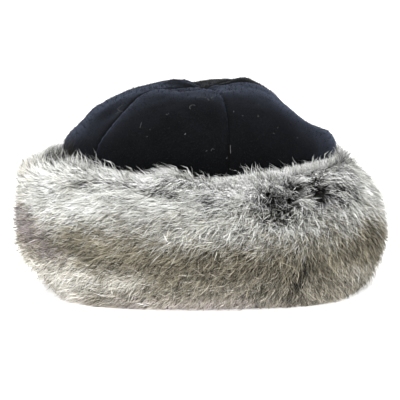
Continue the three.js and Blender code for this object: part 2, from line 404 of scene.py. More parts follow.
def soft_noise(turn, height, kind):
    """Smooth noise from -1 to 1 that closes on itself round the hat."""
    around = kind["cells_round"]
    rows = int(NOISE_SPAN / kind["cell_height"]) + NOISE_ROWS_SPARE
    highest = rows - 2.001
    grid = np.random.default_rng(kind["seed"]).uniform(-1, 1, (around, rows))
    x = (np.asarray(turn, float) % 360.0) / 360.0 * around
    y = np.clip((np.asarray(height, float) - NOISE_FROM) / kind["cell_height"], 0, highest)
    x, y = np.broadcast_arrays(x, y)
    i, j = np.floor(x).astype(int), np.floor(y).astype(int)
    fx, fy = smooth_step(0, 1, x - i), smooth_step(0, 1, y - j)
    i, i2 = i % around, (i + 1) % around
    low = grid[i, j] * (1 - fx) + grid[i2, j] * fx
    high = grid[i, j + 1] * (1 - fx) + grid[i2, j + 1] * fx
    return low * (1 - fy) + high * fy


# The crown's and the cuff's surfaces, before they are centred

def crown_section(turn, position):
    """The puffed form's reach and height at a turn."""
    share = np.cos(np.radians(turn)) ** 2

    def mix(kind):
        side = along(CROWN, f"side_{kind}", position)
        return side + (along(CROWN, f"front_{kind}", position) - side) * share

    return mix("reach"), mix("height")


def dent_depth(turn, reach, height):
    total = sum(dent["depth"] * nearness(dent, turn, reach, "reach") for dent in DENTS["rows"])
    return total * smooth_step(DENTS_FROM, DENTS_FULL, height)


def crown_point(turn, position, inwards):
    """A point of the crown, inwards from the puffed gores' outer face."""
    step = 0.01
    reach, height = crown_section(turn, position)
    low_reach, low_height = crown_section(turn, position - step)
    high_reach, high_height = crown_section(turn, position + step)
    out = (high_reach - low_reach) * HALF_WIDTH
    up = high_height - low_height
    length = np.hypot(out, up)
    normal_out, normal_up = up / length, -out / length
    z = height - inwards * normal_up - dent_depth(turn, reach, height)
    half_width, half_depth = (half * reach - inwards * normal_out for half in (HALF_WIDTH, HALF_DEPTH))
    point = at_turn(turn, half_width, half_depth, z)
    point[..., 0] += APEX_SHIFT * np.clip((z - LEAN_FROM) / LEAN_OVER, 0, 1)
    return point


TURN_STEP = 0.5  # small steps for finding directions on the cuff
ROW_STEP = 0.03


def cuff_point(turn, position, inset=0.0):
    """A point of the fur's outer form, or that far inside it."""

    def surface(t, p):
        out = along(CUFF, "out", p) + along(CUFF, "right_swell", p) * np.sin(np.radians(t))
        level = along(CUFF, "height", p)
        forwards = np.maximum(np.cos(np.radians(t)), 0) ** 4
        z = level - FRONT_LIP_DIP * forwards * np.maximum(level / LIP_HEIGHT, 0) ** 2
        return at_turn(t, HALF_WIDTH * BAND_REACH + out, HALF_DEPTH * BAND_REACH + out, z)

    point = surface(turn, position)
    rightwards = unit(surface(turn + TURN_STEP, position) - surface(turn - TURN_STEP, position))
    low, high = (np.clip(position + step, 0, CUFF_END) for step in (-ROW_STEP, ROW_STEP))
    upwards = unit(surface(turn, high) - surface(turn, low))
    normal = unit(np.cross(rightwards, upwards))
    return point - normal * np.asarray(inset)[..., None], rightwards, upwards, normal


def gore_turn(number, across):
    """Turn across a gore, from 0 on its first seam to 1 on its second."""
    first, last = ([*SEAM_TURNS, SEAM_TURNS[0] + 360])[number - 1 : number + 1]
    return first + (last - first) * across


OUTLINE_COLUMNS = 10  # in each gore's width, and rows in each section, as in the frame
OUTLINE_ROWS = 3


def footprint_centre():
    across = np.arange(0, 1, 1 / OUTLINE_COLUMNS)
    turn = np.concatenate([gore_turn(number, across) for number in range(1, GORES + 1)])[:, None]
    outline = cuff_point(turn, np.arange(0, CUFF_END, 1 / OUTLINE_ROWS)[None, :])[0].reshape(-1, 3)
    return (outline.min(0) + outline.max(0)) / 2 * np.array([1, 1, 0])


CENTRE = footprint_centre()


def metres(points):
    return (points - CENTRE) * MM


# Meshes and materials

def new_object(name, data):
    """An object in the scene."""
    made = bpy.data.objects.new(name, data)
    bpy.context.scene.collection.objects.link(made)
    return made


def mesh_object(name, points, faces, material, colours=None, cells=None, flat_from=None):
    """A mesh from millimetre points and equal-sided faces, with colours and a bake map if given.

    Faces from number flat_from on are shaded flat.
    """
    faces = np.asarray(faces, np.int32)
    sides = faces.shape[1]
    mesh = bpy.data.meshes.new(name)
    mesh.vertices.add(len(points))
    mesh.vertices.foreach_set("co", metres(points).astype(np.float32).ravel())
    mesh.loops.add(faces.size)
    mesh.loops.foreach_set("vertex_index", faces.ravel())
    mesh.polygons.add(len(faces))
    mesh.polygons.foreach_set("loop_start", np.arange(0, faces.size, sides, dtype=np.int32))
    if colours is not None:
        layer = mesh.color_attributes.new("tone", "FLOAT_COLOR", "POINT")
        rgba = np.concatenate([colours, np.ones((len(colours), 1))], 1)
        layer.data.foreach_set("color", rgba.astype(np.float32).ravel())
    if cells is not None:
        layer = mesh.uv_layers.new(name="OFBake")
        layer.data.foreach_set("uv", cells[faces.ravel()].astype(np.float32).ravel())
    mesh.update(calc_edges=True)
    mesh.validate()
    smooth = np.arange(len(mesh.polygons)) < (len(faces) if flat_from is None else flat_from)
    mesh.polygons.foreach_set("use_smooth", smooth)
    mesh.materials.append(material)
    piece = new_object(name, mesh)
    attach(piece, "root")
    return piece


def linear(colour):
    c = np.asarray(colour, float) / 255.0
    return np.where(c <= 0.04045, c / 12.92, ((c + 0.055) / 1.055) ** 2.4)


class Nodes:
    """Short calls for building a material's nodes."""

    def __init__(self, name, **constants):
        self.material = bpy.data.materials.new(name)
        self.material.use_nodes = True
        self.tree = self.material.node_tree
        self.shader = self.tree.nodes["Principled BSDF"]
        for socket, value in constants.items():
            self.shader.inputs[socket.replace("_", " ")].default_value = value

    def add(self, kind, inputs=None, **settings):
        node = self.tree.nodes.new(kind)
        for key, value in settings.items():
            setattr(node, key, value)
        for key, value in (inputs or {}).items():
            if isinstance(value, bpy.types.NodeSocket):
                self.tree.links.new(value, node.inputs[key])
            else:
                node.inputs[key].default_value = value
        return node

    def noise(self, scale, detail=3.0, roughness=0.55):
        place = self.add("ShaderNodeTexCoord").outputs["Object"]
        inputs = {"Vector": place, "Scale": scale, "Detail": detail, "Roughness": roughness}
        return self.add("ShaderNodeTexNoise", inputs).outputs["Fac"]

    def ramp(self, fac, stops):
        node = self.add("ShaderNodeValToRGB", {"Fac": fac})
        for stop, (place, colour) in zip(node.color_ramp.elements, stops):
            stop.position = place
            stop.color = (*colour, 1)
        return node.outputs["Color"]

    def multiply(self, first, second):
        node = self.add("ShaderNodeVectorMath", {0: first, 1: second}, operation="MULTIPLY")
        return node.outputs["Vector"]

    def tone(self):
        """The mesh's colours: their own colours on the fur, pelt, nap and lint, and painted shade on the
        crown's gores.
        """
        return self.add("ShaderNodeVertexColor", layer_name="tone").outputs["Color"]

    def bump(self, height, strength, distance):
        inputs = {"Height": height, "Strength": strength, "Distance": distance}
        self.link(self.add("ShaderNodeBump", inputs).outputs["Normal"], "Normal")

    def link(self, output, socket):
        self.tree.links.new(output, self.shader.inputs[socket])


def fleece_material(name, sheen, tint):
    nodes = Nodes(
        name, Roughness=0.95, Sheen_Weight=sheen, Sheen_Roughness=0.33, Sheen_Tint=(*tint, 1),
        Specular_IOR_Level=0.08,
    )
    dyed = nodes.noise(scale=60, detail=4)
    cloth = nodes.ramp(dyed, [(0.3, linear((3, 4, 5))), (0.7, linear((8, 10, 13)))])
    fine = nodes.noise(scale=650, roughness=0.7)
    mottle = nodes.ramp(fine, [(0.35, (0.55, 0.55, 0.55)), (0.65, (1.5, 1.5, 1.45))])
    # on the gores the tone is painted shade, in the grooves and low on the wall
    nodes.link(nodes.multiply(nodes.multiply(cloth, mottle), nodes.tone()), "Base Color")
    nodes.bump(nodes.noise(scale=900, detail=4, roughness=0.7), strength=0.35, distance=0.0006)
    return nodes.material


def hair_material(name, roughness):
    nodes = Nodes(name, Roughness=roughness, Specular_IOR_Level=0.15)
    nodes.link(nodes.tone(), "Base Color")
    return nodes.material


def pelt_material():
    nodes = Nodes("pelt", Roughness=0.95)
    nodes.link(nodes.tone(), "Base Color")
    nodes.bump(nodes.noise(scale=700, detail=4), strength=0.6, distance=0.001)
    return nodes.material


# Crown gores

def grid_faces(rows, columns, all_round):
    """Quads between neighbouring rings of points, each ring closed."""
    i = np.arange(rows)[:, None]
    j = np.arange(columns if all_round else columns - 1)[None, :]
    i, j = np.broadcast_arrays(i, j)
    i2, j2 = (i + 1) % rows, (j + 1) % columns
    corners = [j * rows + i, j2 * rows + i, j2 * rows + i2, j * rows + i2]
    return np.stack(corners, -1).reshape(-1, 4)


SHADED_GORES = (2, 3)  # behind the others as the camera sees them; painted shade: they get a duller copy of the fleece, with less sheen
GORE_COLUMNS = 45
GORE_ROWS_PER_SECTION = 6
EDGE_CROWDING = 0.85  # how much closer the columns are by the seams
INNER_RELIEF = 0.6  # how much of the outer face's relief the inner face has
PUFF_POWER = 3
APEX_FADE = (0.02, 0.10)  # reaches between which the relief fades in
SEAM_GROOVE = 0.6  # extra depth of the stitched line
SEAM_GROOVE_WIDTH = 1.5
GROOVE_ROWS = (2.4, 3.6)  # rows of the crown between which the groove deepens
GROOVE_BELOW = 0.2  # part of the groove's depth below them
GROOVE_PAINTED_SHADE = 0.95  # painted shade: how much darker the cloth's colour is made in the stitched line's groove
GROOVE_PAINTED_SHADE_WIDTH = 1.2
LOW_PAINTED_SHADE = 0.4  # painted shade: how much darker the crown wall's colour is made, down by the fur
LOW_PAINTED_SHADE_ROWS = (5, 2.6)
PUCKER = 0.22  # little waves along the seams
PUCKER_LENGTH = 5.5
PUCKER_BESIDE = 2  # how far from the seam they are deepest
PUCKER_SPREAD = 4
SECTION_LENGTH = 16.0  # mean distance between the crown's sections
GORE_SHIFT = 3  # how far the waves shift from gore to gore
WAVE_REACH = 200  # a reach of 1, as a height in the noise
TUCK = {"from_seam": 4.0, "width": 0.9, "depth": 0.9, "reach": 0.26, "reach_spread": 0.13}


def gore_relief(turn, across, position, number):
    """How far the outer face lies inwards of the puffed form, and how far it is from a seam."""
    reach, height = crown_section(turn, position)
    angle = math.radians(gore_turn(number, 1) - gore_turn(number, 0))
    width = reach * (HALF_WIDTH + HALF_DEPTH) / 2 * angle
    first, last = across * width, (1 - across) * width
    nearest = np.minimum(np.abs(first), np.abs(last))
    groove = SEAM_GROOVE * (GROOVE_BELOW + (1 - GROOVE_BELOW) * smooth_step(*GROOVE_ROWS, position))
    relief = groove * bell(nearest, SEAM_GROOVE_WIDTH)
    length = position * SECTION_LENGTH + number * GORE_SHIFT
    waves = np.sin(2 * math.pi * length / PUCKER_LENGTH + uneven(turn, height, "pucker"))
    relief = relief + PUCKER * waves * bell(nearest - PUCKER_BESIDE, PUCKER_SPREAD)
    relief = relief + uneven(turn, reach * WAVE_REACH, "wave", "small wave")
    relief = relief * smooth_step(*APEX_FADE, reach)
    relief = relief + along(CROWN, "seam_dip", position) * np.abs(2 * across - 1) ** PUFF_POWER
    if number == GORES:
        crease = bell(first - TUCK["from_seam"], TUCK["width"])
        relief = relief + TUCK["depth"] * crease * bell(reach - TUCK["reach"], TUCK["reach_spread"])
    return relief, nearest


def crown_gore(number, material):
    """One gore's closed wall, in its CAD solid's place."""
    rows = np.linspace(0, CROWN_END, int(CROWN_END * GORE_ROWS_PER_SECTION) + 1)
    even = np.linspace(-1, 1, GORE_COLUMNS)
    crowded = np.sin(even * math.pi / 2)
    across = (even + (crowded - even) * EDGE_CROWDING + 1)[:, None] / 2
    turn = gore_turn(number, across)
    relief, from_seam = gore_relief(turn, across, rows[None, :], number)
    aside = at_turn(turn + 90, 1.0, 1.0, 0.0) * ((0.5 - across) * SEAM_GAP)[..., None]
    outer = crown_point(turn, rows[None, :], relief) + aside
    inner = crown_point(turn, rows[None, :], relief * INNER_RELIEF + CLOTH) + aside
    for face in (outer, inner):
        face[:, -1, :2] = [APEX_SHIFT, 0] + (face[:, -1, :2] - [APEX_SHIFT, 0]) * APEX_CLOSING
    points = np.concatenate([outer, inner[:, ::-1]], 1)
    # painted shade: the cloth's colour is darkened in the seams' grooves and low on the wall by the fur
    shade = 1 - GROOVE_PAINTED_SHADE * bell(from_seam, GROOVE_PAINTED_SHADE_WIDTH)
    shade = shade * (1 - LOW_PAINTED_SHADE * smooth_step(*LOW_PAINTED_SHADE_ROWS, rows))
    shade = np.concatenate([shade, shade[:, ::-1]], 1).reshape(-1, 1)
    ring = 2 * len(rows)
    faces = grid_faces(ring, GORE_COLUMNS, False)
    flat_from = len(faces)
    i = np.arange(len(rows) - 1)
    side = np.stack([i, i + 1, ring - 2 - i, ring - 1 - i], -1)
    faces = np.concatenate([faces, side, side[:, ::-1] + ring * (GORE_COLUMNS - 1)])
    name = f"fleece_gore_{number}"
    colours = np.repeat(shade, 3, axis=1)
    piece = mesh_object(name, points.reshape(-1, 3), faces, material, colours, flat_from=flat_from)
    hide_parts(f"crown_gore_{number}")


def gore_surface(number, across, rows):
    """Points of a gore's outer face, the way straight off it, its area there and two ways along it."""
    step = 0.005

    def face(a, r):
        turn = gore_turn(number, a)
        return crown_point(turn, r, gore_relief(turn, a, r, number)[0])

    middle = face(across, rows)
    rightwards = face(across + step, rows) - middle
    upwards = face(across, rows + step) - middle
    outwards = np.cross(rightwards, upwards)
    return middle, unit(outwards), np.linalg.norm(outwards, axis=-1), unit(rightwards), unit(upwards)


NAP_PER_GORE = 4000
NAP_TRIES = 4  # places tried for each fibre
NAP_LENGTH = 1.3
NAP_LENGTH_SPREAD = 0.3
NAP_WIDTH = 0.26
NAP_LIFTS = (15, 75)
NAP_SHADES = ((5, 6, 7), (16, 17, 18))
NAP_PALE_POWER = 3
NAP_ROWS = (1.9, CROWN_END - 0.05)  # from just inside the fur's lip almost to the apex
SEAM_MARGIN = 0.01  # part of a gore's width without fibres and lint


def fleece_nap(material):
    """Short fibres that stand off the fleece all over the crown, one triangle each."""
    rng = np.random.default_rng(SEED + 300)
    fibres = []
    for number in range(1, GORES + 1):
        across = rng.uniform(SEAM_MARGIN, 1 - SEAM_MARGIN, NAP_TRIES * NAP_PER_GORE)
        rows = rng.uniform(*NAP_ROWS, across.size)
        point, out, area, right, up = gore_surface(number, across, rows)
        kept = rng.choice(across.size, NAP_PER_GORE, False, area / area.sum())
        fibres.append([values[kept] for values in (point, out, right, up)])
    root, out, right, up = (np.concatenate(values) for values in zip(*fibres))
    count = len(root)
    heading = rng.uniform(0, 2 * math.pi, (count, 1))
    flat = np.cos(heading) * right + np.sin(heading) * up
    lift = np.radians(rng.uniform(*NAP_LIFTS, (count, 1)))
    way = np.cos(lift) * flat + np.sin(lift) * out
    side = unit(np.cross(way, out)) * NAP_WIDTH / 2
    length = NAP_LENGTH * np.exp(NAP_LENGTH_SPREAD * rng.normal(size=(count, 1)))
    points = np.stack([root - side, root + side, root + way * length], 1)
    pale = rng.uniform(size=(count, 1)) ** NAP_PALE_POWER
    dark_shade, pale_shade = linear(NAP_SHADES)
    shade = dark_shade + (pale_shade - dark_shade) * pale
    colours = np.repeat(shade[:, None, :], 3, axis=1)
    faces = np.arange(3 * count).reshape(-1, 3)
    return mesh_object("fleece_nap", points.reshape(-1, 3), faces, material, colours.reshape(-1, 3))


LINT_WIDTH = 0.2
LINT_STEPS = 10
LINT_LIFT = 0.45
LINT_TONE = 0.7
LINT_ROWS = (2, CROWN_END - 0.3)
LINT_FIT = 1.5  # pixels that a thread may lie from its place
LINT_GRID = (90, 240)  # places tried across and up each gore
SPECKS = 40  # small ones, anywhere on the crown
# Their places across and up the gore, headings, lengths, bends and shades
SPECK_RANGES = [(0.05, 0.95), (2.2, 6.5), (0, 360), (0.5, 2.2), (-150, 150), (30, 50)]
PIXELS = 400  # width and height of the picture
PIXELS_PER_METRE = PIXELS / FRAME_WIDTH


def in_picture(points):
    """Where millimetre points of the hat come in the photograph, in pixels."""
    tilt = math.radians(CAMERA_ELEVATION)
    x, y, z = ((points - CENTRE) * MM - [0, 0, AIM_HEIGHT]).transpose(2, 0, 1)
    nearer = CAMERA_DISTANCE / (CAMERA_DISTANCE + y * math.cos(tilt) - z * math.sin(tilt))
    up = y * math.sin(tilt) + z * math.cos(tilt)
    return PIXELS / 2 + x * nearer * PIXELS_PER_METRE, PIXELS / 2 - up * nearer * PIXELS_PER_METRE


def lint_places(rng):
    """Each thread's gore, its place across and up it, and its heading, length, bend and shade."""
    columns = np.linspace(SEAM_MARGIN, 1 - SEAM_MARGIN, LINT_GRID[0])
    across, rows = np.meshgrid(columns, np.linspace(*LINT_ROWS, LINT_GRID[1]), indexing="ij")
    places = []
    for number in (GORES, GORES - 1, 1):
        x, y = in_picture(gore_surface(number, across, rows)[0])
        for row in LINT["rows"]:
            away = np.hypot(x - row["pixel_x"], y - row["pixel_y"])
            best = np.unravel_index(away.argmin(), away.shape)
            if away[best] < LINT_FIT:
                places.append((number, across[best], rows[best], *list(row.values())[2:]))
    for _ in range(SPECKS):
        number = rng.integers(1, GORES + 1)
        places.append((number, *(rng.uniform(*between) for between in SPECK_RANGES)))
    return places


def lint(material):
    """Pale threads and specks caught on the fleece, as narrow ribbons."""
    rng = np.random.default_rng(SEED + 310)
    points, faces, colours = [], [], []
    over = LINT_STEPS + 1
    for number, across, row, heading, length, bend, shade in lint_places(rng):
        spot, out, _, right, up = gore_surface(number, np.array([across]), np.array([row]))
        along_thread = np.linspace(0, 1, over)
        ways = np.radians(heading + bend * (along_thread - 0.5))[:, None]
        steps = (np.cos(ways) * right + np.sin(ways) * up) * length / LINT_STEPS
        centre = spot + np.cumsum(steps, 0) - steps.sum(0) / 2 + out * LINT_LIFT
        side = np.cross(out, unit(steps)) * LINT_WIDTH / 2
        i = len(points) * 2 * over + np.arange(LINT_STEPS)
        points.append(np.concatenate([centre - side, centre + side]))
        faces.append(np.stack([i, i + 1, i + 1 + over, i + over], -1))
        colours.append(np.tile(LINT_TONE * linear((shade, shade, shade)), (2 * over, 1)))
    pieces = (np.concatenate(part) for part in (points, faces))
    return mesh_object("fleece_lint", *pieces, material, np.concatenate(colours))


# Fur colours and the way it lies

LEAST_SHARE = 1e-4
RAGGED_MEAN = 0.8
PATCH_WEIGHT = 4


def coat_mix(turn, height):
    """Each coat's share where a hair grows, one row for each coat."""
    level = height + uneven(turn, height, "wide band", "band", "narrow band")
    sideways = np.sin(np.radians(turn)) ** 2
    shares = {name: np.zeros(level.shape) for name in COAT_NAMES}
    for band in BANDS["rows"]:
        away = level - (band["front"] + (band["side"] - band["front"]) * sideways)
        if band["name"] == "upper":
            away = np.minimum(away, 0)
        if band["name"] == "lower":
            away = np.maximum(away, 0)
        shares[band["coat"]] += bell(away, band["spread"]) + LEAST_SHARE
    ragged = RAGGED_MEAN + uneven(turn, height, "ragged patch")
    for patch in PATCHES["rows"]:
        share = patch["share"] * ragged * nearness(patch, turn, height)
        shares[patch["coat"]] += PATCH_WEIGHT * np.maximum(share, 0) ** 2
    shares = np.array(list(shares.values()))
    return shares / shares.sum(0)


def drawn_coat(turn, height, chance):
    """The row of one coat for each hair, drawn by the coats' shares where it grows."""
    edges = np.cumsum(coat_mix(turn, height), 0)
    return np.sum(chance > edges[:-1], 0)


def lie_of_fur(turn, height):
    """Flow, root lift, tip lift and stray in radians, and draw: the brushes' weighted mean."""
    right = up = total = 0.0
    means = np.zeros((4, *np.shape(turn)))
    for brush in BRUSHES["rows"]:
        share = brush["share"] * nearness(brush, turn, height)
        flow = math.radians(brush["flow"])
        right = right + share * math.cos(flow)
        up = up + share * math.sin(flow)
        total = total + share
        for row, name in enumerate(("root_lift", "tip_lift", "stray", "draw")):
            means[row] += share * brush[name]
    means = means / total
    return np.arctan2(up, right), *np.radians(means[:3]), means[3]


def swell(turn, height):
    return sum(place["rise"] * nearness(place, turn, height) for place in SWELLS["rows"])


# Hairs

SECTOR_EDGES = [-102, -36, 30, 96, 176, 258]  # turns between the fur's pieces
HAIRS_PER_PIECE = 56000
HAIR_WIDTH = 0.30
LIP_FINENESS = 0.35  # how much narrower the hairs are at the lip
HAIR_LENGTHS = (6.0, 20.0)
HAIR_LENGTH_SPREAD = 0.06
HAIR_STEPS = (0.66, 0.34)  # shares of the hair's length, up from the root
HAIR_TWIST = 55
HAIR_TAPER = (0.85, 1)  # width at the root and higher up, where it is HAIR_WIDTH
HAIR_WIDTH_SPREAD = 0.3
LEAST_DEPTH = 0.5  # of the pelt under the outer form
RISES = (0.6, 1)  # how high hairs end, as parts of that depth
TUFT_RISE = 0.05  # how unlike tufts are in height, and clumps where they are drawn
CLUMP_RISE = 0.4
LEAST_STAND = 0.2  # of a hair's length
LONG_HAIRS = 0.12  # share of hairs that stand past the outer form
LONG_IF_DRAWN = (0.7, 1.5)  # times that share where draw is 0, and how many more where it is 1
LONG_RISE = 4.5
LONG_MOST = 1.7
TUFT_SIZE = 12.0  # large tufts share one lean
CLUMP_SIZE = 3.9  # clumps draw their tips together, with gaps between them where the hairs get painted shade
LOCK_SIZE = 1.7  # small locks are alike in shade
LOCK_JITTER = (0.1, 0.9)
LOCK_SPAN = 200  # millimetres up the cuff that the locks cover
LOCK_ROWS_SPARE = 6
LOCK_ROWS_BELOW = 2  # of the spare rows
BARB_SIZE = 6.4  # the clumps where they are drawn hardest
BARBS_FROM = 0.55  # of draw
DRAWS = (0.60, 0.94)  # how far clumps are drawn at the end of each step, where draw is 1
GAP_WIDTH = 0.8
BARB_GAP_WIDTH = 2.2
# painted shade on hairs in the gaps between clumps
GAP_PAINTED_SHADE = 0.8
RUFFLED_FROM = 0.6  # hairs past this many deviations from the mean stand up
RUFFLED_MOST = 1.2
RUFFLED_LIFT = 0.7  # of the fur's stray
RUFFLED_RISE = 3
SHARED = (0.25, 0.96)  # what a clump's hairs share where draw is 0 and where it is 1
STRAY_PARTS = (0.2, 0.2)  # of the stray, for a tuft and a lock
LIFT_SPREADS = (2, 4, 6)  # degrees, for a tuft, a lock and a hair
ROOT_LIFTS = (0.1, 1.5)  # limits in radians
TIP_LIFTS = (0, 1.2)
ROUND_RADIUS = 118.0
ROUND_LENGTH = 2 * math.pi * ROUND_RADIUS


def arc_table():
    """Positions up the cuff and how far each is from the foot along the surface."""
    position = np.linspace(0, CUFF_END, 281)
    point = cuff_point(np.full(position.shape, 90.0), position)[0]
    steps = np.linalg.norm(np.diff(point, axis=0), axis=1)
    return position, np.concatenate([[0], np.cumsum(steps)])


ARC_POSITION, ARC_LENGTH = arc_table()


def surface_at(turn, arc, depth):
    """A point under the fur's outer form, carried straight on past the foot and the lip."""
    inside = np.clip(arc, 0, ARC_LENGTH[-1])
    position = np.interp(inside, ARC_LENGTH, ARC_POSITION)
    point, rightwards, upwards, normal = cuff_point(turn, position, depth)
    return point + upwards * (arc - inside)[..., None], rightwards, upwards, normal


def nearest_lock(x, y, size, seed):
    """The number and centre of the nearest jittered cell, and how much nearer it is than the next.

    x closes on itself round the hat.
    """
    around = int(round(ROUND_LENGTH / size))
    step = ROUND_LENGTH / around
    rows = int(LOCK_SPAN / size) + LOCK_ROWS_SPARE
    jitter = np.random.default_rng(seed).uniform(*LOCK_JITTER, (around, rows, 2))
    i0 = np.floor(x / step).astype(int)
    j0 = np.floor(y / size).astype(int) + LOCK_ROWS_BELOW
    best = second = np.full(x.shape, np.inf)
    lock = np.zeros(x.shape, int)
    cx = cy = np.zeros(x.shape)
    for di in (-1, 0, 1):
        for dj in (-1, 0, 1):
            i, j = i0 + di, np.clip(j0 + dj, 0, rows - 1)
            spot = jitter[i % around, j]
            px, py = (i + spot[:, 0]) * step, (j - LOCK_ROWS_BELOW + spot[:, 1]) * size
            gap = (px - x) ** 2 + (py - y) ** 2
            near = gap < best
            second = np.where(near, best, np.minimum(second, gap))
            best = np.where(near, gap, best)
            cx, cy = np.where(near, px, cx), np.where(near, py, cy)
            lock = np.where(near, (i % around) * rows + j, lock)
    return lock, cx, cy, np.sqrt(second) - np.sqrt(best)


def cell_numbers(cell, seed, columns):
    """Normal random numbers, the same for all hairs of one cell."""
    return np.random.default_rng(seed).normal(size=(cell.max() + 1, columns))[cell]


def sample_cuff(rng, count, first_turn, last_turn):
    """Random places on the fur's outer form, even by area, as a turn and an arc length."""
    turn_step, arc_step = 1.5, 2.0
    turns = np.arange(first_turn, last_turn, turn_step)
    arcs = np.arange(0, ARC_LENGTH[-1], arc_step)
    t, s = np.meshgrid(turns + turn_step / 2, arcs + arc_step / 2, indexing="ij")
    across = surface_at(t + turn_step / 2, s, 0 * s)[0] - surface_at(t - turn_step / 2, s, 0 * s)[0]
    width = np.linalg.norm(across, axis=-1).ravel()
    cell = rng.choice(width.size, count, p=width / width.sum())
    turn = t.ravel()[cell] + rng.uniform(-0.5, 0.5, count) * turn_step
    arc = s.ravel()[cell] + rng.uniform(-0.5, 0.5, count) * arc_step
    return turn, np.clip(arc, 0, ARC_LENGTH[-1])


CLEAR_FROM = 70.0  # height from which hairs are pushed out of the crown
CLEAR_ROWS = np.linspace(1, 7, 61)  # rows of the crown where its reach is taken
CLEARANCE = 0.008  # reach past the crown's
LEAST_REACH = 0.05
FLOOR_FAN = 0.02  # how far hairs from under the floor come above it, of their depth


def keep_clear(points):
    """Pushes hair points out of the crown and up off the floor."""
    z = points[..., 2]
    aside, ahead = points[..., 0] / HALF_WIDTH, points[..., 1] / HALF_DEPTH
    reach = np.hypot(aside, ahead)
    share = np.cos(np.arctan2(aside, -ahead)) ** 2
    wall = CLEARANCE
    for part, weight in (("side", 1 - share), ("front", share)):
        heights, reaches = (along(CROWN, f"{part}_{what}", CLEAR_ROWS) for what in ("height", "reach"))
        wall = wall + np.interp(z, heights, reaches) * weight
    pushed = (z > CLEAR_FROM) & (reach < wall)
    points[..., :2] *= np.where(pushed, wall / np.maximum(reach, LEAST_REACH), 1.0)[..., None]
    points[..., 2] = np.maximum(z, FLOOR_GAP + FLOOR_FAN * np.maximum(-z, 0))
    return points


class Fur:
    """Hairs being grown: where they root, what they share with neighbours and how they lie."""

    def __init__(self, rng, turn, arc):
        self.rng, self.turn, self.arc = rng, turn, arc
        self.count = len(turn)
        position = np.interp(arc, ARC_LENGTH, ARC_POSITION)
        self.depth = np.maximum(along(CUFF, "pelt_depth", position), LEAST_DEPTH)
        self.height = surface_at(turn, arc, 0 * arc)[0][:, 2]
        self.x = np.radians(turn % 360.0) * ROUND_RADIUS
        self.flow, self.root_lift, self.tip_lift, self.stray, self.draw = lie_of_fur(turn, self.height)
        tuft = nearest_lock(self.x, arc, TUFT_SIZE, SEED + 1)[0]
        barbs = nearest_lock(self.x, arc, BARB_SIZE, SEED + 8)
        clumps = nearest_lock(self.x, arc, CLUMP_SIZE, SEED + 5)
        in_barbs = self.draw > BARBS_FROM
        clump, self.clump_x, self.clump_arc, lead = (np.where(in_barbs, b, c) for b, c in zip(barbs, clumps))
        lock = nearest_lock(self.x, arc, LOCK_SIZE, SEED + 2)[0]
        # how near a hair roots to its clump's edge, where it gets painted shade
        self.gap = smooth_step(np.where(in_barbs, BARB_GAP_WIDTH, GAP_WIDTH), 0, lead)
        self.tuft = cell_numbers(tuft, SEED + 3, 4)
        self.clump = cell_numbers(clump, SEED + 6, 5)
        self.lock = cell_numbers(lock, SEED + 4, 6)
        self.own = rng.normal(size=(self.count, 7))

    def scatter(self):
        """Each hair leaves the common lie with its tuft, with its lock and on its own."""
        mix = STRAY_PARTS[0] * self.tuft[:, 0] + self.shared(0) + STRAY_PARTS[1] * self.lock[:, 0]
        self.flow = self.flow + self.stray * mix
        numbers = (self.tuft, self.lock, self.own)
        spread = np.radians(sum(part * each[:, 1] for part, each in zip(LIFT_SPREADS, numbers)))
        self.root_lift = np.clip(self.root_lift + spread, *ROOT_LIFTS)
        self.tip_lift = np.clip(self.tip_lift + spread, *TIP_LIFTS)
        ruffled = np.clip(self.shared(4) - RUFFLED_FROM, 0, RUFFLED_MOST)
        self.ruffle = RUFFLED_LIFT * self.stray * ruffled

    def shared(self, column):
        """A random number that hairs of one clump share, the more so the more they are drawn together."""
        part = SHARED[0] + (SHARED[1] - SHARED[0]) * np.clip(self.draw, 0, 1)
        return part * self.clump[:, column] + np.sqrt(1 - part**2) * self.own[:, column]

    def lengths(self):
        """Hair long enough to reach the outer form, so that the fur keeps its outline."""
        rise = self.depth * self.rng.uniform(*RISES, self.count) + swell(self.turn, self.height)
        mix = TUFT_RISE * self.tuft[:, 2] + CLUMP_RISE * self.draw * self.clump[:, 2]
        long_share = LONG_HAIRS * (LONG_IF_DRAWN[0] + LONG_IF_DRAWN[1] * self.draw)
        longer = self.rng.uniform(size=self.count) < long_share
        past = longer * LONG_RISE * np.minimum(np.abs(self.own[:, 2]), LONG_MOST)
        rise = rise + mix * self.depth + past + RUFFLED_RISE * self.ruffle
        stand = HAIR_STEPS[0] * np.sin(self.root_lift) + HAIR_STEPS[1] * np.sin(self.tip_lift)
        length = np.clip(rise / np.maximum(stand, LEAST_STAND), *HAIR_LENGTHS)
        return length * np.exp(HAIR_LENGTH_SPREAD * self.own[:, 3])

    def centres(self, length, stiff):
        """Points up each hair, partly bent over the surface and partly straight."""
        root, rightwards, upwards, normal = surface_at(self.turn, self.arc, self.depth)
        across = np.cos(self.flow), np.sin(self.flow)
        pull_x, pull_arc = self.clump_x - self.x, self.clump_arc - self.arc
        ahead = pull_x * across[0] + pull_arc * across[1]
        pull_x, pull_arc = pull_x - ahead * across[0], pull_arc - ahead * across[1]
        points = [root]
        travel = rise = 0.0
        lifts = (self.root_lift, self.tip_lift + self.ruffle)
        for step, lift, draw in zip(HAIR_STEPS, lifts, DRAWS):
            travel = travel + length * step * np.cos(lift)
            rise = rise + length * step * np.sin(lift)
            pull = draw * self.draw
            right, up = travel * across[0] + pull * pull_x, travel * across[1] + pull * pull_arc
            turn = self.turn + np.degrees(right / ROUND_RADIUS)
            bent = surface_at(turn, self.arc + up, self.depth - rise)[0]
            straight = root + right[:, None] * rightwards + up[:, None] * upwards + rise[:, None] * normal
            points.append(bent + (straight - bent) * stiff[:, None])
        return keep_clear(np.stack(points, 1)), normal


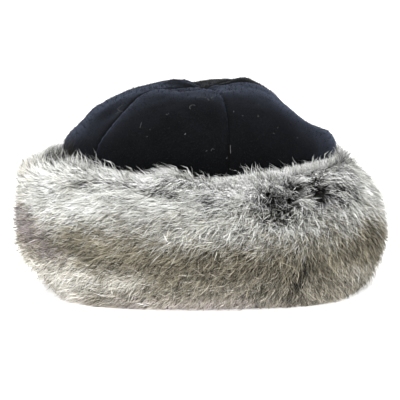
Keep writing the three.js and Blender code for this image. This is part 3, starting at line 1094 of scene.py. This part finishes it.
def hair_mesh(name, fur, length, stiff, material, colours, width):
    """Tapered ribbons, one for each hair."""
    centres, normal = fur.centres(length, stiff)
    ways = unit(np.diff(centres, axis=1) + 1e-6)
    twist = math.radians(HAIR_TWIST) * np.tanh(fur.own[:, 4])[:, None, None]
    flat = unit(np.cross(ways, normal[:, None, :]))
    side = np.cos(twist) * flat + np.sin(twist) * np.cross(flat, ways)
    taper = np.array(HAIR_TAPER)[None, :, None]
    half = side * taper * (width / 2 * np.exp(HAIR_WIDTH_SPREAD * fur.own[:, 5]))[:, None, None]
    pairs = np.stack([centres[:, :2] - half, centres[:, :2] + half], 2).reshape(fur.count, 4, 3)
    pairs[..., 2] = np.maximum(pairs[..., 2], FLOOR_GAP)
    points = np.concatenate([pairs, centres[:, 2:]], 1).reshape(-1, 3)
    colours = np.repeat(colours, [2, 2, 1], axis=1).reshape(-1, 3)
    return mesh_object(name, points, hair_faces(fur.count), material, colours, bake_cells(fur.count))


def hair_faces(count):
    """Triangles of the ribbons: a pair of points at the root, a pair higher up and one tip."""
    each = np.array([(0, 1, 3), (0, 3, 2), (2, 3, 4)])
    return (each[None] + 5 * np.arange(count)[:, None, None]).reshape(-1, 3)


def bake_cells(count):
    """A small square of the bake map for each hair."""
    across = math.ceil(math.sqrt(count))
    number = np.arange(count)
    corner = np.stack([number % across, number // across], -1) / across
    inside = np.array([(0.15, 0.12), (0.85, 0.12), (0.15, 0.5), (0.85, 0.5), (0.5, 0.88)]) / across
    return (corner[:, None, :] + inside[None]).reshape(-1, 2)


PALE_HAIRS = 0.08  # share of pale hairs in any coat
PALER = 1.35
CLUMP_TONE = (0.15, 0.8)  # weight of a clump's shade where draw is 0, and how much more at 1
OWN_TONE = (1.1, -0.6)  # the same for a hair's own shade
LOCK_TONE = 0.2
TUFT_TONE = 0.05
DARK_SPREAD = 0.6  # how unlike locks are in their share of dark hairs
DARK_MEAN = 0.15
GAP_AT_TIP = 0.3  # of the gap's painted shade
BLEND_POWER = 1.3
TONES = (0.002, 0.93)  # darkest and palest


def hair_colours(fur, coat):
    """Colours up each hair, from its coat and its own, its lock's and its tuft's shade, with painted shade
    in the gaps between clumps.
    """
    root, middle, tip = (linear(COATS[level])[coat] for level in ("root", "middle", "tip"))
    field = uneven(fur.turn, fur.height, "shade", "small shade") + TUFT_TONE * fur.tuft[:, 3]
    own = (CLUMP_TONE[0] + CLUMP_TONE[1] * fur.draw) * fur.clump[:, 3] + LOCK_TONE * fur.lock[:, 3]
    own = own + (OWN_TONE[0] + OWN_TONE[1] * fur.draw) * fur.own[:, 6]
    tone = np.exp(field + COATS["uneven"][coat] * own)[:, None]
    # painted shade between clumps, weaker at the tips
    gap_painted_shade = GAP_PAINTED_SHADE * (fur.gap * fur.draw)[:, None]
    chance = COATS["dark_share"][coat] * np.exp(DARK_SPREAD * fur.lock[:, 4] - DARK_MEAN)
    kind = fur.rng.uniform(size=fur.count)
    dark, pale = (kind < chance)[:, None], (kind > 1 - PALE_HAIRS)[:, None]
    shade = linear(SHADE) * SHADE_PART
    middle = np.where(dark, shade + middle * (1 - SHADE_PART), np.where(pale, middle * PALER, middle))
    middle = middle * tone * (1 - gap_painted_shade)
    tip = np.where(dark, shade + tip * (1 - SHADE_PART), tip) * tone * (1 - GAP_AT_TIP * gap_painted_shade)
    blend = COATS["tip_reach"][coat, None] * fur.rng.uniform(size=(fur.count, 1)) ** BLEND_POWER
    levels = [root, middle + (tip - middle) * blend, tip]
    return np.clip(np.stack(levels, 1), *TONES)


STIFFNESS = 0.3  # hairs bend over the surface at 0 and are straight at 1
LIP_STIFFNESS = 0.55  # how much more at the lip, past these lengths up the surface
LIP_ARCS = (92, 118)
FOOT_STIFFNESS = 0.4
FOOT_ARCS = (24, 4)
FINE_HEIGHTS = (86, 98)  # where the hairs get narrower
COAT_PARTS = (0.97, 0.25)  # how much a clump and a lock decide a hair's coat


def fur_sectors(material):
    """The fur in pieces round the cuff."""
    pieces = []
    for number, (first, last) in enumerate(zip(SECTOR_EDGES, SECTOR_EDGES[1:]), 1):
        rng = np.random.default_rng(SEED + 100 + number)
        fur = Fur(rng, *sample_cuff(rng, HAIRS_PER_PIECE, first, last))
        fur.scatter()
        stiff = STIFFNESS + LIP_STIFFNESS * smooth_step(*LIP_ARCS, fur.arc)
        stiff = stiff + FOOT_STIFFNESS * smooth_step(*FOOT_ARCS, fur.arc)
        chance = even_chance(COAT_PARTS[0] * fur.shared(1) + COAT_PARTS[1] * fur.lock[:, 2])
        colours = hair_colours(fur, drawn_coat(fur.turn, fur.height, chance))
        width = HAIR_WIDTH * (1 - LIP_FINENESS * smooth_step(*FINE_HEIGHTS, fur.height))
        pieces.append(hair_mesh(f"fur_{number}", fur, fur.lengths(), stiff, material, colours, width))
    return pieces


TUFT_SPREAD = 0.7  # of its row's round
TUFT_MOST = 2.2
TUFT_BELOW_LIP = (2, 17)  # how far they root from the surface's end
TUFT_TIP_LIFT = 0.6  # of its lean
TUFT_DRAW = 0.15  # of the fur's
TUFT_LENGTH_SPREAD = 0.2
TUFT_STIFFNESS = 0.8
TUFT_WIDTH = 0.45  # of the other hairs' width


def lip_tufts(material):
    """Longer hairs that rise over the crown along the lip."""
    rows = LIP_TUFTS["rows"]
    rng = np.random.default_rng(SEED + 200)
    counts = [row["count"] for row in rows]

    def each(column):
        return np.repeat([row[column] for row in rows], counts)

    total = sum(counts)
    aside = np.clip(rng.normal(size=total), -TUFT_MOST, TUFT_MOST) * TUFT_SPREAD
    turn = each("turn") + each("round") * aside
    fur = Fur(rng, turn, ARC_LENGTH[-1] - rng.uniform(*TUFT_BELOW_LIP, total))
    fur.flow, fur.root_lift, fur.stray = (np.radians(each(name)) for name in ("flow", "lean", "stray"))
    fur.tip_lift = fur.root_lift * TUFT_TIP_LIFT
    fur.draw = fur.draw * TUFT_DRAW
    fur.scatter()
    colours = hair_colours(fur, np.repeat([COAT_NAMES.index(row["coat"]) for row in rows], counts))
    length = each("length") * np.exp(TUFT_LENGTH_SPREAD * fur.own[:, 3])
    stiff = np.full(total, TUFT_STIFFNESS)
    return hair_mesh("fur_lip_tufts", fur, length, stiff, material, colours, HAIR_WIDTH * TUFT_WIDTH)


GUARD_HAIRS = 11000
FOOT_HAIRS = 3000  # more of them along the foot
FOOT_ARC = 8  # how far up from it
GUARD_LIFT = 14.0  # degrees more at the tip than the fur round them, and less at the root
GUARD_LONGER = (1, 5)
GUARD_SHORTER = 0.7  # where the fur is drawn
GUARD_STIFFNESS = 0.6
GUARD_WIDTH = 0.5  # of the other hairs' width


def guard_hairs(material):
    """Fine single hairs that stand a little past the fur, all over the cuff."""
    rng = np.random.default_rng(SEED + 250)
    turn, arc = sample_cuff(rng, GUARD_HAIRS, 0, 360)
    turn = np.concatenate([turn, rng.uniform(0, 360, FOOT_HAIRS)])
    arc = np.concatenate([arc, rng.uniform(0, FOOT_ARC, FOOT_HAIRS)])
    fur = Fur(rng, turn, arc)
    drawn = fur.draw
    fur.draw = np.zeros(fur.count)
    fur.tip_lift = fur.tip_lift + math.radians(GUARD_LIFT)
    fur.root_lift = fur.root_lift - math.radians(GUARD_LIFT)
    fur.scatter()
    colours = hair_colours(fur, drawn_coat(fur.turn, fur.height, rng.uniform(size=fur.count)))
    length = np.minimum(fur.lengths() + rng.uniform(*GUARD_LONGER, fur.count), HAIR_LENGTHS[1])
    length = length * (1 - GUARD_SHORTER * drawn)
    stiff = np.full(fur.count, GUARD_STIFFNESS)
    return hair_mesh("fur_guard_hairs", fur, length, stiff, material, colours, HAIR_WIDTH * GUARD_WIDTH)


# Pelt

PELT_COLUMNS = 144
PELT_ROWS = 42
PELT_INNER_ROWS = 9
PELT_TONE = 0.6


def fur_pelt(material):
    """The skin that the hair grows from: a closed ring with a flat underside."""
    turn = np.arange(PELT_COLUMNS)[:, None] * (360 / PELT_COLUMNS)
    rows = np.linspace(0, CUFF_END, PELT_ROWS)[None, :]
    depth = np.maximum(along(CUFF, "pelt_depth", rows), LEAST_DEPTH)
    outer = cuff_point(turn, rows, depth + 0 * turn)[0]
    inner_rows = np.linspace(CUFF_LINE, 0, PELT_INNER_ROWS)[None, :]
    reach, height = crown_section(turn, inner_rows)
    height = np.where(inner_rows == 0, FLOOR_GAP, height)
    inner = at_turn(turn, HALF_WIDTH * reach + CUFF_GAP, HALF_DEPTH * reach + CUFF_GAP, height)
    points = np.concatenate([outer, inner], 1)
    points[..., 2] = np.maximum(points[..., 2], FLOOR_GAP)
    flat_turn = np.broadcast_to(turn, points.shape[:2]).ravel()
    colours = PELT_TONE * coat_mix(flat_turn, points[..., 2].ravel()).T @ linear(COATS["root"])
    faces = grid_faces(points.shape[1], PELT_COLUMNS, True)
    return mesh_object("fur_pelt", points.reshape(-1, 3), faces, material, colours)


# Stage, lights and camera

WORLD_STRENGTH = 1.15


def add_stage():
    pale, white = (0.9, 0.9, 0.9, 1), (1, 1, 1, 1)
    nodes = Nodes("floor", Roughness=0.9, Base_Color=pale, Emission_Strength=0.6, Emission_Color=white)
    bpy.ops.mesh.primitive_plane_add(size=14, location=(0, 3, 0))
    floor = bpy.context.object
    floor.name = "floor"
    floor.data.materials.append(nodes.material)


def add_light(name, place, size, power):
    data = bpy.data.lights.new(name, "AREA")
    data.shape = "DISK"
    data.size = size
    data.energy = power
    light = new_object(name, data)
    light.location = place
    aim = -light.location.normalized()
    light.rotation_euler = aim.to_track_quat("-Z", "Y").to_euler()


def add_world():
    world = bpy.data.worlds.new("studio")
    world.use_nodes = True
    background = world.node_tree.nodes["Background"]
    background.inputs["Color"].default_value = (1, 1, 1, 1)
    background.inputs["Strength"].default_value = WORLD_STRENGTH
    bpy.context.scene.world = world
    bpy.context.scene.view_settings.view_transform = "Standard"


def add_camera():
    data = bpy.data.cameras.new("camera")
    data.lens = CAMERA_DISTANCE * data.sensor_width / FRAME_WIDTH
    data.clip_end = 50
    camera = new_object("camera", data)
    tilt = math.radians(CAMERA_ELEVATION)
    back = (0, -math.cos(tilt) * CAMERA_DISTANCE, math.sin(tilt) * CAMERA_DISTANCE + AIM_HEIGHT)
    camera.location = back
    camera.rotation_euler = (math.radians(90) - tilt, 0, 0)
    bpy.context.scene.camera = camera


add_camera()
add_world()
add_stage()
add_light("top", place=(-0.35, -0.5, 1.5), size=0.9, power=14)
add_light("front", place=(0.0, -1.8, 0.9), size=1.2, power=20)

fleece = fleece_material("fleece", sheen=0.28, tint=(0.33, 0.41, 0.64))
# painted shade: a duller, less glossy copy of the fleece for the gores at the back
shaded_fleece = fleece_material("fleece_shaded", sheen=0.17, tint=(0.42, 0.46, 0.50))
for gore in range(1, GORES + 1):
    crown_gore(gore, shaded_fleece if gore in SHADED_GORES else fleece)
fibre = hair_material("fleece_fibre", roughness=0.8)
for piece in (fleece_nap(fibre), lint(fibre)):
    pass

hair = hair_material("fur", roughness=0.5)
pelt = fur_pelt(pelt_material())
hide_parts("fur_cuff")
for piece in [*fur_sectors(hair), lip_tufts(hair), guard_hairs(hair)]:
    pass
